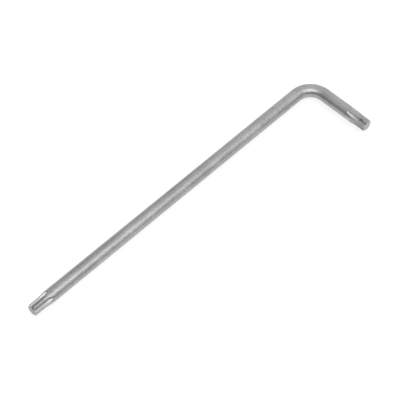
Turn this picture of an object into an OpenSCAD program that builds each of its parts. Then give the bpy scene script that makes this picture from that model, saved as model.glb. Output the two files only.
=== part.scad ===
// A long L-shaped star key: one round steel bar, bent square, with a six-lobed star formed on each end.
// It lies flat on its side, with the long arm along X, the short arm along -Y and +Z up.
// The origin is on the surface under the middle of the whole key. All lengths are in millimetres.

/* [Bar] */
// Diameter of the round bar
bar_d = 6; // [5.7:0.1:8]
// Length of the long arm, from its end face to the outside of the bend
long_arm = 172; // [100:1:260]
// Length of the short arm, from its end face to the outside of the bend
short_arm = 37.5; // [30:0.5:70]
// Radius of the bend, at the middle of the bar
bend_r = 9; // [6:0.5:14]

/* [Star] */
// Diameter across the six lobes
star_d = 5.52; // [5.1:0.02:5.7]
// Diameter across the six flutes
root_d = 3.97; // [3.7:0.01:4.2]
// Radius of the round on each lobe
lobe_r = 0.45; // [0.35:0.01:0.5]
// Length over which the star has its full depth
star_l = 4.6; // [3:0.1:8]
// Length over which each flute of the long arm's star then rises to the surface of the bar
long_run_out_l = 4.8; // [4.2:0.1:9]
// Length over which each flute of the short arm's star then rises to the surface of the bar
short_run_out_l = 6.2; // [4.2:0.1:9]
// Length of the crests past the start of that rise, before they widen
crest_lag = 0.6; // [0.3:0.1:1.5]
// Length of the cone in which the crests then widen
shoulder_l = 3.2; // [2:0.1:5]
// How much the bar is drawn down at the end of that cone, on its diameter
draw = 0.12; // [0.04:0.02:0.16]
// Turn of the long arm's star, in degrees from +Z towards the inside of the key
long_star_turn = 20; // [0:1:60]
// Turn of the short arm's star, in degrees from +Z towards the inside of the key
short_star_turn = 5; // [0:1:60]

/* [End] */
// Diameter of the flat end face
end_d = 4.2; // [3.6:0.1:5]
// Length of the bevel round the end face
bevel_l = 0.6; // [0.2:0.1:1.5]
// Length from the end of the longer flutes to the plain bar
land_l = 1.7; // [0.5:0.1:4]

/* [Hidden] */
$fn = 96;
steel = [0.66, 0.66, 0.67];
// Number of lobes, and the angle from one lobe to the next
lobes = 6;
pitch = 360 / lobes;
// How far the crests of the lobes are turned down
crest_trim = 0.04;
// How far a flute bites into the rounds of the lobes beside it
flank_bite = 0.01;
// Angle by which each side of a flute's cutter leans away from the next cutter
cutter_lean = 3;
// How far cuts run past what they cut
overrun = 0.5;

bar_r = bar_d / 2;
star_r = star_d / 2;
root_r = root_d / 2;
end_r = end_d / 2;
cone_z = star_l + crest_lag;
tip_l = star_l + max(long_run_out_l, short_run_out_l) + land_l;
// Where the middle lines of the two arms would cross
corner_x = long_arm / 2 - bar_r;
corner_y = short_arm / 2 - bar_r;
// Plain lengths of bar between the bend and the tips
long_shank_l = long_arm - bar_r - bend_r - tip_l;
short_shank_l = short_arm - bar_r - bend_r - tip_l;
// Distance from the star's axis to the middle of a lobe's round
lobe_c = star_r + crest_trim - lobe_r;
// The flute's arc runs into the rounds of the two lobes beside it
lobe_along = lobe_c * cos(pitch / 2);
touch_r = (lobe_r * lobe_r - lobe_c * lobe_c - root_r * root_r + 2 * root_r * lobe_along)
    / (2 * (root_r - lobe_along - lobe_r));
flute_r = touch_r + flank_bite;
flute_c = root_r + flute_r;
// Length of each half of a flute's cutter
cutter_l = tip_l + overrun;

function polar(r, angle) = [r * cos(angle), r * sin(angle)];

// Outline of what one flute takes away, seen along the star's axis
module flute_outline() {
    far_r = (flute_c + flute_r) / cos(pitch / 2);
    far_angle = pitch / 2 - cutter_lean;
    translate([flute_c, 0]) circle(r = flute_r);
    difference() {
        polygon([
            [flute_c, 0],
            polar(lobe_c, pitch / 2),
            polar(far_r, far_angle),
            polar(far_r, -far_angle),
            polar(lobe_c, -pitch / 2)
        ]);
        for (side = [-1, 1]) translate(polar(lobe_c, side * pitch / 2)) circle(r = lobe_r);
    }
}

// Straight half of a flute's cutter, mitred where the flute starts to rise, with its deepest line through the origin
module half_cutter(rise) {
    difference() {
        translate([-root_r, 0, -cutter_l]) linear_extrude(cutter_l + overrun) flute_outline();
        rotate([0, rise / 2, 0]) translate([-cutter_l, -cutter_l, 0])
            cube([2 * cutter_l, 2 * cutter_l, cutter_l]);
    }
}

// One flute: straight along the star, then rising out of the bar
module flute(run_out_l) {
    rise = atan((bar_r - root_r) / run_out_l);
    translate([root_r, 0, star_l]) {
        half_cutter(rise);
        mirror([sin(rise / 2), 0, cos(rise / 2)]) half_cutter(rise);
    }
}

// A star tip standing on its end face, with a lobe turned by the given angle from X
module star_tip(turn, run_out_l) {
    difference() {
        rotate_extrude() polygon([
            [0, 0],
            [end_r, 0],
            [star_r, bevel_l],
            [star_r, cone_z],
            [bar_r - draw / 2, cone_z + shoulder_l],
            [bar_r, tip_l],
            [0, tip_l]
        ]);
        for (i = [0 : lobes - 1]) rotate(turn + (i + 1 / 2) * pitch) flute(run_out_l);
    }
}

// End of the long arm, with its star, run-outs and bevelled end face
module long_star_tip() {
    color(steel) translate([-long_arm / 2, corner_y, bar_r])
        rotate([0, 90, 0]) rotate(180) star_tip(long_star_turn, long_run_out_l);
}

// Plain bar of the long arm
module long_shank() {
    color(steel) translate([tip_l - long_arm / 2, corner_y, bar_r])
        rotate([0, 90, 0]) cylinder(r = bar_r, h = long_shank_l);
}

// Quarter turn that joins the two arms
module bend() {
    color(steel) translate([corner_x - bend_r, corner_y - bend_r, bar_r])
        rotate_extrude(angle = 90) translate([bend_r, 0]) circle(r = bar_r);
}

// Plain bar of the short arm
module short_shank() {
    color(steel) translate([corner_x, tip_l - short_arm / 2, bar_r])
        rotate([-90, 0, 0]) cylinder(r = bar_r, h = short_shank_l);
}

// End of the short arm, with its star, run-outs and bevelled end face
module short_star_tip() {
    color(steel) translate([corner_x, -short_arm / 2, bar_r])
        rotate([-90, 0, 0]) rotate(-90) star_tip(-short_star_turn, short_run_out_l);
}

long_star_tip();
long_shank();
bend();
short_shank();
short_star_tip();
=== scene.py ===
"""Looks of the star key: one satin steel bar, bent square, with a six-lobed star on each end.

The bar is swept along its middle line. A place on its surface is given by an angle round the bar, from
straight up towards the inside of the key, and by a length along the bar from the long arm's end face.
On a star tip, z is the length from that tip's own end face. All lengths are in metres.
"""
import math
from collections import namedtuple

import bpy
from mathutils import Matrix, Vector


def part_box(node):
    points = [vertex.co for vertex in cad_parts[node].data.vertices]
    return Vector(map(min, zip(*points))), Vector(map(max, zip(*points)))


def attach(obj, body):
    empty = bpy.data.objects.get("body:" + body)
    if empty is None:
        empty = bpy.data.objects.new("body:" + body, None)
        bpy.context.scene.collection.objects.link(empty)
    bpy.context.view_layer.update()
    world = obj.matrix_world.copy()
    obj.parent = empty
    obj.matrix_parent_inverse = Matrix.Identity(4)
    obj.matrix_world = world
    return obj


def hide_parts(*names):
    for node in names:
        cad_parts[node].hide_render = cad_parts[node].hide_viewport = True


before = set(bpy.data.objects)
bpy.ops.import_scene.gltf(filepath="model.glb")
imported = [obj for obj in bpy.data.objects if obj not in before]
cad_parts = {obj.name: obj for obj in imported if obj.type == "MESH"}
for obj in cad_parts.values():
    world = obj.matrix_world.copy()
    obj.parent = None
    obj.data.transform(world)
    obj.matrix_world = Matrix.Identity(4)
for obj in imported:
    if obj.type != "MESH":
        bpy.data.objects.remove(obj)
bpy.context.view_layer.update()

MM = 0.001
UP = Vector((0, 0, 1))

# The bar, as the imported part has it
tip_low, tip_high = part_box("long_star_tip")
shank_low, shank_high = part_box("long_shank")
bend_low, bend_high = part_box("bend")
short_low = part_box("short_star_tip")[0]
bar_r = (shank_high.z - shank_low.z) / 2
tip_l = tip_high.x - tip_low.x
corner_x = bend_high.x - bar_r
corner_y = bend_high.y - bar_r
bend_r = corner_x - bend_low.x
bend_middle = Vector((bend_low.x, bend_low.y, bar_r))
long_l = bend_low.x - tip_low.x
bend_l = bend_r * math.pi / 2
short_l = bend_low.y - short_low.y
bar_l = long_l + bend_l + short_l

# Where the two stars differ
Star = namedtuple("Star", (
    "turn",  # of a lobe, from straight up towards the inside of the key
    "flute_l",  # length of the straight flutes
    "run_out",  # length over which the flutes rise out of the bar
    "curve",  # power of that rise, where 1 is a straight ramp
    "burnish",  # how much painted highlight brightens the upper ends of the run-outs
    "end_r",  # radius of the end face
    "bevel_l",  # length of the bevel round the end face
    "face_tone",  # how much painted light brightens the end face
))
LONG_STAR = Star(
    turn=math.radians(20),
    flute_l=4.6 * MM,
    run_out=5.2 * MM,
    curve=2.7,
    burnish=0.15,
    end_r=2.1 * MM,
    bevel_l=0.6 * MM,
    face_tone=0,
)
SHORT_STAR = Star(
    turn=math.radians(5),
    flute_l=4.5 * MM,
    run_out=6.4 * MM,
    curve=1.2,
    burnish=0.46,
    end_r=2.25 * MM,
    bevel_l=0.5 * MM,
    face_tone=0.15,
)
# A painted dark spot of shade on the wall of a flute in the short star
SHADE_SPOT_ANGLE = math.radians(13)
SHADE_SPOT_Z = 3.1 * MM
SHADE_SPOT_R = 1.2 * MM
SHADE_SPOT_TONE = -0.75

# The star's section, the same on both ends
LOBES = 6
PITCH = 2 * math.pi / LOBES
STAR_R = 2.76 * MM
ROOT_R = 1.985 * MM
LOBE_R = 0.45 * MM
# How far the lobes' rounds would stand past the crests
CREST_TRIM = 0.01 * MM
# Where the crests start to widen towards the bar
CREST_L = 4.8 * MM
# Radii to which edges are worn: round the end face, and along the flutes
END_EDGE = 0.12 * MM
FLUTE_EDGE = 0.06 * MM
# Width of the band beside an edge that handling has brightened
WORN_BAND = 0.22 * MM
# Power by which the rim's wear fades towards the middle of the end face
FACE_FADE = 12

lobe_c = STAR_R + CREST_TRIM - LOBE_R
lobe_along = lobe_c * math.cos(PITCH / 2)
lobe_side = lobe_c * math.sin(PITCH / 2)
flute_r = ((LOBE_R ** 2 - lobe_c ** 2 - ROOT_R ** 2 + 2 * ROOT_R * lobe_along)
           / (2 * (ROOT_R - lobe_along - LOBE_R)))
flute_c = ROOT_R + flute_r
flute_depth = bar_r - ROOT_R
# Where a flute's arc runs into a lobe's round
touch_share = flute_r / (flute_r + LOBE_R)
touch_along = flute_c + (lobe_along - flute_c) * touch_share
touch_side = lobe_side * touch_share


def smooth_min(a, b, blend):
    """The lesser of two lengths, eased over a blend where they are nearly the same."""
    overlap = max(blend - abs(a - b), 0) / blend
    return min(a, b) - overlap * overlap * blend / 4


def crest_radius(z):
    """Radius over the crests, without the bevel."""
    share = (z - CREST_L) / (tip_l - CREST_L)
    share = min(max(share, 0), 1)
    return STAR_R + (bar_r - STAR_R) * (1 - (1 - share) ** 3)


def bevel_radius(z, star):
    """Radius of the cone round the end face, with its rim rounded into the face."""
    rim = 0
    if z < END_EDGE:
        rim = END_EDGE - math.sqrt(END_EDGE ** 2 - (END_EDGE - z) ** 2)
    return star.end_r + (STAR_R - star.end_r) * z / star.bevel_l - rim


def flute_radius(angle, z, star):
    """Radius to which the flutes cut, at an angle from the middle of a lobe."""
    off = abs(angle % PITCH - PITCH / 2)
    lift = flute_depth * (max(z - star.flute_l, 0) / star.run_out) ** star.curve
    if off <= math.atan2(touch_side, touch_along + lift):
        middle = flute_c + lift
        return middle * math.cos(off) - math.sqrt(flute_r ** 2 - (middle * math.sin(off)) ** 2)
    middle = math.hypot(lobe_along + lift, lobe_side)
    turn = off - math.atan2(lobe_side, lobe_along + lift)
    reach = LOBE_R ** 2 - (middle * math.sin(turn)) ** 2
    if reach < 0:
        # Past the lobe's round nothing is cut
        return 2 * bar_r
    return middle * math.cos(turn) + math.sqrt(reach)


def tip_radius(angle, z, star):
    """Radius of a star tip, at an angle from the middle of a lobe."""
    outside = smooth_min(bevel_radius(z, star), crest_radius(z), FLUTE_EDGE)
    return smooth_min(outside, flute_radius(angle, z, star), FLUTE_EDGE)


def on_tip(angle, along):
    """The angle from the middle of a lobe, z and the star of a place, or None on plain bar."""
    if along < tip_l:
        return angle - LONG_STAR.turn, along, LONG_STAR
    if along > bar_l - tip_l:
        return angle - SHORT_STAR.turn, bar_l - along, SHORT_STAR
    return None


def bar_radius(angle, along):
    """Radius of the key's surface anywhere along the bar."""
    tip = on_tip(angle, along)
    return tip_radius(*tip) if tip else bar_r


def bar_place(along):
    """Middle of the bar, the way on along it, and the way to the inside of the key."""
    if along <= long_l:
        return Vector((tip_low.x + along, corner_y, bar_r)), Vector((1, 0, 0)), Vector((0, -1, 0))
    turned = (along - long_l) / bend_r
    if turned < math.pi / 2:
        outside = Vector((math.sin(turned), math.cos(turned), 0))
        onward = Vector((math.cos(turned), -math.sin(turned), 0))
        return bend_middle + bend_r * outside, onward, -outside
    rest = along - long_l - bend_l
    return Vector((corner_x, bend_low.y - rest, bar_r)), Vector((0, -1, 0)), Vector((-1, 0, 0))


def surface(angle, along, share=1):
    """A point of the key's surface, or below it at a share of the radius."""
    middle, onward, inside = bar_place(along)
    out = UP * math.cos(angle) + inside * math.sin(angle)
    return middle + out * bar_radius(angle, along) * share


def surface_normal(angle, along):
    """The way out of the key's surface."""
    angle_step = 0.002
    along_step = 0.004 * MM
    before = max(along - along_step, 0)
    after = min(along + along_step, bar_l)
    round_way = surface(angle + angle_step, along) - surface(angle - angle_step, along)
    along_way = surface(angle, after) - surface(angle, before)
    return round_way.cross(along_way).normalized()


def flute_depth_and_painted_light(angle, along):
    """How deep in a flute a place is, from 0 to 1, and how much painted highlights, a painted shade spot
    and painted light on the end face brighten or darken it.
    """
    tip = on_tip(angle, along)
    if not tip:
        return 0, 0
    z, star = tip[1:]
    depth = max(min(bevel_radius(z, star), crest_radius(z)) - flute_radius(*tip), 0)
    inside = min(depth / FLUTE_EDGE, 1)
    rise = max(z - star.flute_l, 0) / star.run_out
    # Painted highlight, growing up the run-out
    tone = star.burnish * rise
    # A painted spot of shade on a flute wall of the short star
    if star is SHORT_STAR:
        away = math.hypot(z - SHADE_SPOT_Z, (angle - SHADE_SPOT_ANGLE) * STAR_R)
        tone += SHADE_SPOT_TONE * max(1 - away / SHADE_SPOT_R, 0)
    # Painted light on the end face
    face = star.face_tone * max(1 - z / star.bevel_l, 0)
    return depth / flute_depth, tone * inside + face


def worn_share(angle, along):
    """How much handling has brightened a place: 1 on an edge, 0 away from it."""
    tip = on_tip(angle, along)
    if not tip:
        return 0
    z, star = tip[1:]
    crest = crest_radius(z)
    bevel = bevel_radius(z, star)
    flute = flute_radius(*tip)
    outside = min(crest, bevel)
    nearest = min(abs(flute - outside), abs(bevel - crest), z + abs(outside - star.end_r))
    # The flutes fade out into the bar, so their edges do too
    fade = min(max((star.flute_l + star.run_out - z) / star.run_out, 0), 1)
    return max(1 - nearest / WORN_BAND, 0) * fade


def spread(stretches):
    """Places along a length, from stretches that each have an end and a step."""
    places = [0]
    for end, step in stretches:
        start = places[-1]
        count = max(round((end - start) / step), 1)
        places += [start + (end - start) * (i + 1) / count for i in range(count)]
    return places


def build_piece(name, rings, steps):
    """A closed stretch of the bar.

    Each ring has a length along the bar, a share of the radius, and a fixed normal, or None for the
    surface's own.
    """
    points, normals, places, depths, painted_light_values, worn = [], [], [], [], [], []

    def add_point(angle, ring):
        along, share, facing = ring
        radius = bar_radius(angle, along) * share
        points.append(surface(angle, along, share))
        normals.append(facing or surface_normal(angle, along))
        places.extend((radius * math.cos(angle) / MM, radius * math.sin(angle) / MM, along / MM))
        depth, burnish = flute_depth_and_painted_light(angle, along)
        depths.append(depth if share == 1 else 0)
        painted_light_values.append(burnish)
        worn.append(worn_share(angle, along) * share ** FACE_FADE)

    for ring in rings:
        for i in range(steps):
            add_point(2 * math.pi * i / steps, ring)
    faces = []
    for j in range(len(rings) - 1):
        for i in range(steps):
            this, after = j * steps, (j + 1) * steps
            on = (i + 1) % steps
            faces.append((this + i, this + on, after + on, after + i))
    for ring, start, flip in ((rings[0], 0, True), (rings[-1], (len(rings) - 1) * steps, False)):
        onward = bar_place(ring[0])[1]
        middle = len(points)
        add_point(0, (ring[0], 0, -onward if flip else onward))
        for i in range(steps):
            edge = [start + i, start + (i + 1) % steps]
            faces.append((middle, *(reversed(edge) if flip else edge)))
    mesh = bpy.data.meshes.new(name)
    mesh.from_pydata(points, [], faces)
    mesh.shade_smooth()
    mesh.attributes.new("bar_place", "FLOAT_VECTOR", "POINT").data.foreach_set("vector", places)
    mesh.attributes.new("flute_depth", "FLOAT", "POINT").data.foreach_set("value", depths)
    mesh.attributes.new("burnish", "FLOAT", "POINT").data.foreach_set("value", painted_light_values)
    mesh.attributes.new("worn_edge", "FLOAT", "POINT").data.foreach_set("value", worn)
    mesh.normals_split_custom_set_from_vertices(normals)
    piece = bpy.data.objects.new(name, mesh)
    bpy.context.scene.collection.objects.link(piece)
    return piece


def tip_rings(at_start):
    """Rings of a star tip: across the end face, round its rim and bevel, then along the flutes."""
    star = LONG_STAR if at_start else SHORT_STAR
    past_bevel = star.bevel_l + 0.2 * MM
    half_out = star.flute_l + star.run_out / 2
    flute_end = star.flute_l + star.run_out
    sides = spread((
        (END_EDGE, END_EDGE / 6),
        (past_bevel, 0.06 * MM),
        (star.flute_l, 0.15 * MM),
        (half_out, 0.12 * MM),
        (flute_end, 0.09 * MM),
        (tip_l, 0.2 * MM),
    ))
    face_shares = (0.25, 0.5, 0.75, 0.93)
    if at_start:
        facing = -bar_place(0)[1]
        face = [(0, share, facing) for share in face_shares]
        return face + [(0, 1, facing)] + [(z, 1, None) for z in sides[1:]]
    facing = bar_place(bar_l)[1]
    face = [(bar_l, share, facing) for share in reversed(face_shares)]
    return [(bar_l - z, 1, None) for z in reversed(sides[1:])] + [(bar_l, 1, facing)] + face


def plain_rings(start, end, step):
    """Rings of a stretch of plain bar."""
    count = round((end - start) / step)
    return [(start + (end - start) * i / count, 1, None) for i in range(count + 1)]


def shader_node(tree, kind, inputs=None, **settings):
    """A shader node with its settings made, and its inputs set or linked."""
    node = tree.nodes.new(kind)
    for key, value in settings.items():
        setattr(node, key, value)
    for key, value in (inputs or {}).items():
        if isinstance(value, bpy.types.NodeSocket):
            tree.links.new(value, node.inputs[key])
        else:
            node.inputs[key].default_value = value
    return node


def point_value(tree, name, output="Fac"):
    """A value that each point of a mesh carries."""
    return shader_node(tree, "ShaderNodeAttribute", attribute_name=name).outputs[output]


def noise(tree, place, scale, detail):
    """Noise with features of about one part in scale of a millimetre."""
    inputs = {"Vector": place, "Scale": scale, "Detail": detail}
    return shader_node(tree, "ShaderNodeTexNoise", inputs).outputs["Fac"]


def ranged(tree, value, old, new):
    """A value carried from one range to another, and kept inside it."""
    inputs = {"Value": value, "From Min": old[0], "From Max": old[1], "To Min": new[0], "To Max": new[1]}
    return shader_node(tree, "ShaderNodeMapRange", inputs).outputs["Result"]


def math_node(tree, operation, a, b):
    """The sum or product of two values."""
    return shader_node(tree, "ShaderNodeMath", {0: a, 1: b}, operation=operation).outputs["Value"]


def satin_steel():
    """Satin steel, drawn along the bar, blasted to a fine grain, burnished on worn edges, with painted
    highlights and painted shade in the flutes and painted light on the end faces.
    """
    grey = 0.40
    blue = grey * 1.01
    glancing_tint = 0.8
    line_stretch = (1, 1, 0.03)
    line_share = 0.35
    grain_height = 0.006 * MM
    material = bpy.data.materials.new("satin_steel")
    material.use_nodes = True
    tree = material.node_tree
    tree.nodes.clear()
    place = point_value(tree, "bar_place", "Vector")
    depth = point_value(tree, "flute_depth")
    burnish = point_value(tree, "burnish")
    edge = point_value(tree, "worn_edge")
    drawn = shader_node(tree, "ShaderNodeVectorMath", {0: place, 1: line_stretch}, operation="MULTIPLY")
    lines = noise(tree, drawn.outputs["Vector"], scale=6, detail=3)
    grain = noise(tree, place, scale=2.4, detail=4)
    mottle = noise(tree, place, scale=2, detail=2)
    pits = noise(tree, place, scale=0.8, detail=1)
    patches = noise(tree, place, scale=0.16, detail=3)

    line_height = math_node(tree, "MULTIPLY", lines, line_share)
    height = math_node(tree, "ADD", line_height, grain)
    bump = shader_node(tree, "ShaderNodeBump", {"Strength": 1, "Distance": grain_height, "Height": height})

    patch_tone = ranged(tree, patches, (0.3, 0.7), (0.91, 1.09))
    mottle_tone = ranged(tree, mottle, (0.2, 0.8), (0.68, 1.32))
    pit_tone = ranged(tree, pits, (0.7, 0.78), (1, 0.75))
    line_tone = ranged(tree, lines, (0.3, 0.7), (0.97, 1.03))
    # Painted shade, darkest deep in the flutes
    painted_flute_shade = ranged(tree, depth, (0.6, 0.76), (1, 0.8))
    # Painted highlights, the painted shade spot and painted light on the end faces, as each point carries
    # them
    painted_light_tone = math_node(tree, "ADD", burnish, 1)
    edge_tone = ranged(tree, edge, (0, 1), (1, 1.02))
    tone = patch_tone
    for share in (mottle_tone, pit_tone, line_tone, painted_flute_shade, painted_light_tone, edge_tone):
        tone = math_node(tree, "MULTIPLY", tone, share)
    toned = {0: (grey, grey, blue), "Scale": tone}
    colour = shader_node(tree, "ShaderNodeVectorMath", toned, operation="SCALE")

    patch_rough = ranged(tree, patches, (0.3, 0.7), (0.32, 0.40))
    edge_rough = ranged(tree, edge, (0, 1), (0, -0.05))
    rough = math_node(tree, "ADD", patch_rough, edge_rough)

    steel = shader_node(tree, "ShaderNodeBsdfPrincipled", {
        "Base Color": colour.outputs["Vector"],
        "Metallic": 1,
        "Roughness": rough,
        "Specular Tint": (glancing_tint, glancing_tint, glancing_tint, 1),
        "Normal": bump.outputs["Normal"],
    })
    shader_node(tree, "ShaderNodeOutputMaterial", {"Surface": steel.outputs["BSDF"]})
    return material


def build_key():
    """The five stretches of the bar, each in the place of its node."""
    steel = satin_steel()
    tip_steps = 240
    bar_steps = 144
    straight_step = 2.5 * MM
    bend_step = 0.3 * MM
    elbow = long_l + bend_l
    stretches = (
        ("long_star", "long_star_tip", tip_rings(True), tip_steps),
        ("long_bar", "long_shank", plain_rings(tip_l, long_l, straight_step), bar_steps),
        ("elbow", "bend", plain_rings(long_l, elbow, bend_step), bar_steps),
        ("short_bar", "short_shank", plain_rings(elbow, bar_l - tip_l, straight_step), bar_steps),
        ("short_star", "short_star_tip", tip_rings(False), tip_steps),
    )
    for name, node, rings, steps in stretches:
        piece = build_piece(name, rings, steps)
        piece.data.materials.append(steel)
        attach(piece, "root")
        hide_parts(node)


def add_camera():
    """The photograph's view: from above the inside of the key, with a long lens."""
    azimuth = math.radians(-45.51)
    elevation = math.radians(54.136)
    distance = 0.700
    focal_pixels = 1631.6
    image_pixels = 400
    aim = Vector((2.145, 5.855, 3.0)) * MM
    data = bpy.data.cameras.new("camera")
    data.sensor_width = 36
    data.lens = data.sensor_width * focal_pixels / image_pixels
    data.clip_start = 0.01
    camera = bpy.data.objects.new("camera", data)
    level = math.cos(elevation)
    back = Vector((math.sin(azimuth) * level, -math.cos(azimuth) * level, math.sin(elevation)))
    camera.location = aim + back * distance
    camera.rotation_euler = (-back).to_track_quat("-Z", "Y").to_euler()
    bpy.context.scene.collection.objects.link(camera)
    bpy.context.scene.camera = camera


def add_lamp(name, place, length, width, radiance):
    """An oval softbox that faces the key, with its length level."""
    area = math.pi * width * length / 4
    data = bpy.data.lights.new(name, "AREA")
    data.shape = "ELLIPSE"
    data.size = length
    data.size_y = width
    data.energy = radiance * math.pi * area
    lamp = bpy.data.objects.new(name, data)
    lamp.location = place
    lamp.rotation_euler = Vector(place).to_track_quat("Z", "Y").to_euler()
    bpy.context.scene.collection.objects.link(lamp)


def plain_sheet(name, corners, material):
    """A flat four-cornered sheet of the studio."""
    mesh = bpy.data.meshes.new(name)
    mesh.from_pydata(corners, [], [(0, 1, 2, 3)])
    mesh.materials.append(material)
    sheet = bpy.data.objects.new(name, mesh)
    bpy.context.scene.collection.objects.link(sheet)
    return sheet


def glowing(name, glow, grey, index=None):
    """A matt surface that also shines by itself, as a light table does.

    With a refractive index it has a soft polish too.
    """
    polish_rough = 0.3
    material = bpy.data.materials.new(name)
    material.use_nodes = True
    tree = material.node_tree
    tree.nodes.clear()
    shine = shader_node(tree, "ShaderNodeEmission", {"Strength": glow})
    matt = shader_node(tree, "ShaderNodeBsdfDiffuse", {"Color": (grey, grey, grey, 1)})
    look = shader_node(tree, "ShaderNodeAddShader", {0: shine.outputs[0], 1: matt.outputs[0]})
    if index:
        share = shader_node(tree, "ShaderNodeFresnel", {"IOR": index})
        gloss = {"Color": (1, 1, 1, 1), "Roughness": polish_rough}
        polish = shader_node(tree, "ShaderNodeBsdfGlossy", gloss)
        mixed = {0: share.outputs[0], 1: look.outputs[0], 2: polish.outputs[0]}
        look = shader_node(tree, "ShaderNodeMixShader", mixed)
    shader_node(tree, "ShaderNodeOutputMaterial", {"Surface": look.outputs[0]})
    return material


def add_floor():
    """A polished white light table, on which the key leaves only a faint shadow."""
    half = 4
    corners = [(-half, -half, 0), (half, -half, 0), (half, half, 0), (-half, half, 0)]
    plain_sheet("floor", corners, glowing("light_table", glow=0.77, grey=0.3, index=1.6))


def add_card(name, start, end, low, high, glow):
    """An upright grey card out of the picture, seen only in the steel and the floor's polish."""
    corners = [(*start, low), (*end, low), (*end, high), (*start, high)]
    card = plain_sheet(name, corners, glowing(name, glow, grey=0))
    card.visible_camera = False


def add_surroundings():
    """White surroundings that grow darker to the left."""
    world = bpy.data.worlds.new("studio")
    world.use_nodes = True
    tree = world.node_tree
    tree.nodes.clear()
    way = shader_node(tree, "ShaderNodeTexCoord").outputs["Generated"]
    right = shader_node(tree, "ShaderNodeSeparateXYZ", {0: way}).outputs["X"]
    darker = ranged(tree, right, (-1, 0), (0.25, 0.94))
    lighter = ranged(tree, right, (0, 0.5), (0, 0.04))
    strength = math_node(tree, "ADD", darker, lighter)
    light = shader_node(tree, "ShaderNodeBackground", {"Color": (1, 1, 1, 1), "Strength": strength})
    shader_node(tree, "ShaderNodeOutputWorld", {"Surface": light.outputs["Background"]})
    bpy.context.scene.world = world


def add_studio():
    """Softboxes above the camera and to both sides of it, and grey cards at the front, side and back."""
    add_surroundings()
    add_lamp("camera_box", (-0.17, -0.27, 0.52), length=0.7, width=0.51, radiance=1.63)
    add_lamp("right_box", (0.25, -0.315, 0.63), length=0.35, width=0.15, radiance=1.23)
    add_lamp("left_box", (-0.29, -0.04, 0.47), length=0.4, width=0.45, radiance=0.51)
    add_card("front_card", (-0.01, -0.645), (0.6, -0.415), low=0.006, high=0.16, glow=0.49)
    add_card("side_card", (-0.62, -0.04), (0.1, -0.49), low=0, high=0.15, glow=0.1)
    add_card("back_card", (-0.34, 0.535), (0.23, 0.34), low=0.065, high=0.845, glow=0.635)


build_key()
add_camera()
add_floor()
add_studio()
bpy.context.scene.view_settings.view_transform = "Standard"
